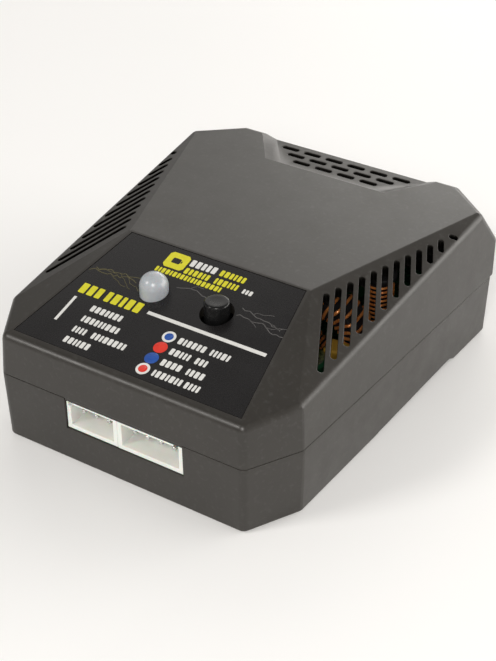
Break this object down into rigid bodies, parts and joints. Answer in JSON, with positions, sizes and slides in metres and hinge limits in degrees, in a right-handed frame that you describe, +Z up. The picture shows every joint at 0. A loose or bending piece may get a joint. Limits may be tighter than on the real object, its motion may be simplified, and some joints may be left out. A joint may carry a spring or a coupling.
{
  "type": "balance battery charger",
  "caption": "Desktop battery charger: faceted vented dark plastic case with sloping status panel, status light, push button, front balance sockets and rear mains inlet.",
  "frame": {"origin": "centre of the footprint on the surface the charger stands on", "axes": "+X to the right seen from the front, +Y from the balance sockets towards the mains inlet, +Z up"},
  "size_m": [0.0622, 0.0771, 0.028],
  "materials": {
    "case_plastic": "satin dark charcoal moulded plastic",
    "panel_film": "printed dark film, slight sheen",
    "print_white": "white print",
    "print_yellow": "yellow print",
    "print_red": "red print",
    "print_blue": "blue print",
    "led_lens": "milky diffusing lens",
    "tinned_metal": "tinned contact metal",
    "socket_nylon": "white nylon",
    "button_plastic": "satin dark grey plastic",
    "black_plastic": "glossy black plastic",
    "steel": "bare steel",
    "board": "green solder mask",
    "ferrite": "dark grey ferrite",
    "tape": "yellow insulating tape",
    "copper": "enamelled copper wire",
    "sleeve_dark": "dark capacitor sleeve",
    "sleeve_green": "green capacitor sleeve",
    "film_yellow": "yellow capacitor box",
    "chip": "black epoxy",
    "ceramic": "pale ceramic",
    "disc_green": "green coated disc",
    "aluminium": "mill finish aluminium"
  },
  "bodies": {
    "case": {"base_shell": "case_plastic", "top_shell": "case_plastic", "status_panel": "panel_film", "print_white": "print_white", "print_yellow": "print_yellow", "print_red": "print_red", "print_blue": "print_blue", "status_led": "led_lens", "led_leads": "tinned_metal", "socket_3way": "socket_nylon", "socket_4way": "socket_nylon", "contacts_3way": "tinned_metal", "contacts_4way": "tinned_metal", "switch_body": "black_plastic", "switch_cover": "steel", "switch_legs": "tinned_metal", "inlet_body": "black_plastic", "inlet_pins": "tinned_metal", "circuit_board": "board", "transformer_core": "ferrite", "transformer_bobbin": "black_plastic", "transformer_tape": "tape", "transformer_pins": "tinned_metal", "ring_core": "ferrite", "ring_winding": "copper", "ring_base": "black_plastic", "bulk_capacitor": "sleeve_dark", "output_capacitors": "sleeve_green", "film_capacitor": "film_yellow", "line_choke_core": "ferrite", "line_choke_winding": "copper", "bridge_rectifier": "chip", "fuse": "ceramic", "inrush_disc": "disc_green", "heatsink": "aluminium", "power_transistor": "chip", "controller_chip": "chip", "balance_chips": "chip", "bleed_resistors": "chip", "case_screws": "steel"},
    "button": {"button_cap": "button_plastic", "switch_plunger": "black_plastic"}
  },
  "joints": [
    {"name": "button_press", "type": "slide", "parent": "case", "child": "button", "axis": [0, 0, 1], "range_m": [-0.0003, 0], "stiffness_N_per_m": 2000, "springref_m": 0.0002}
  ]
}
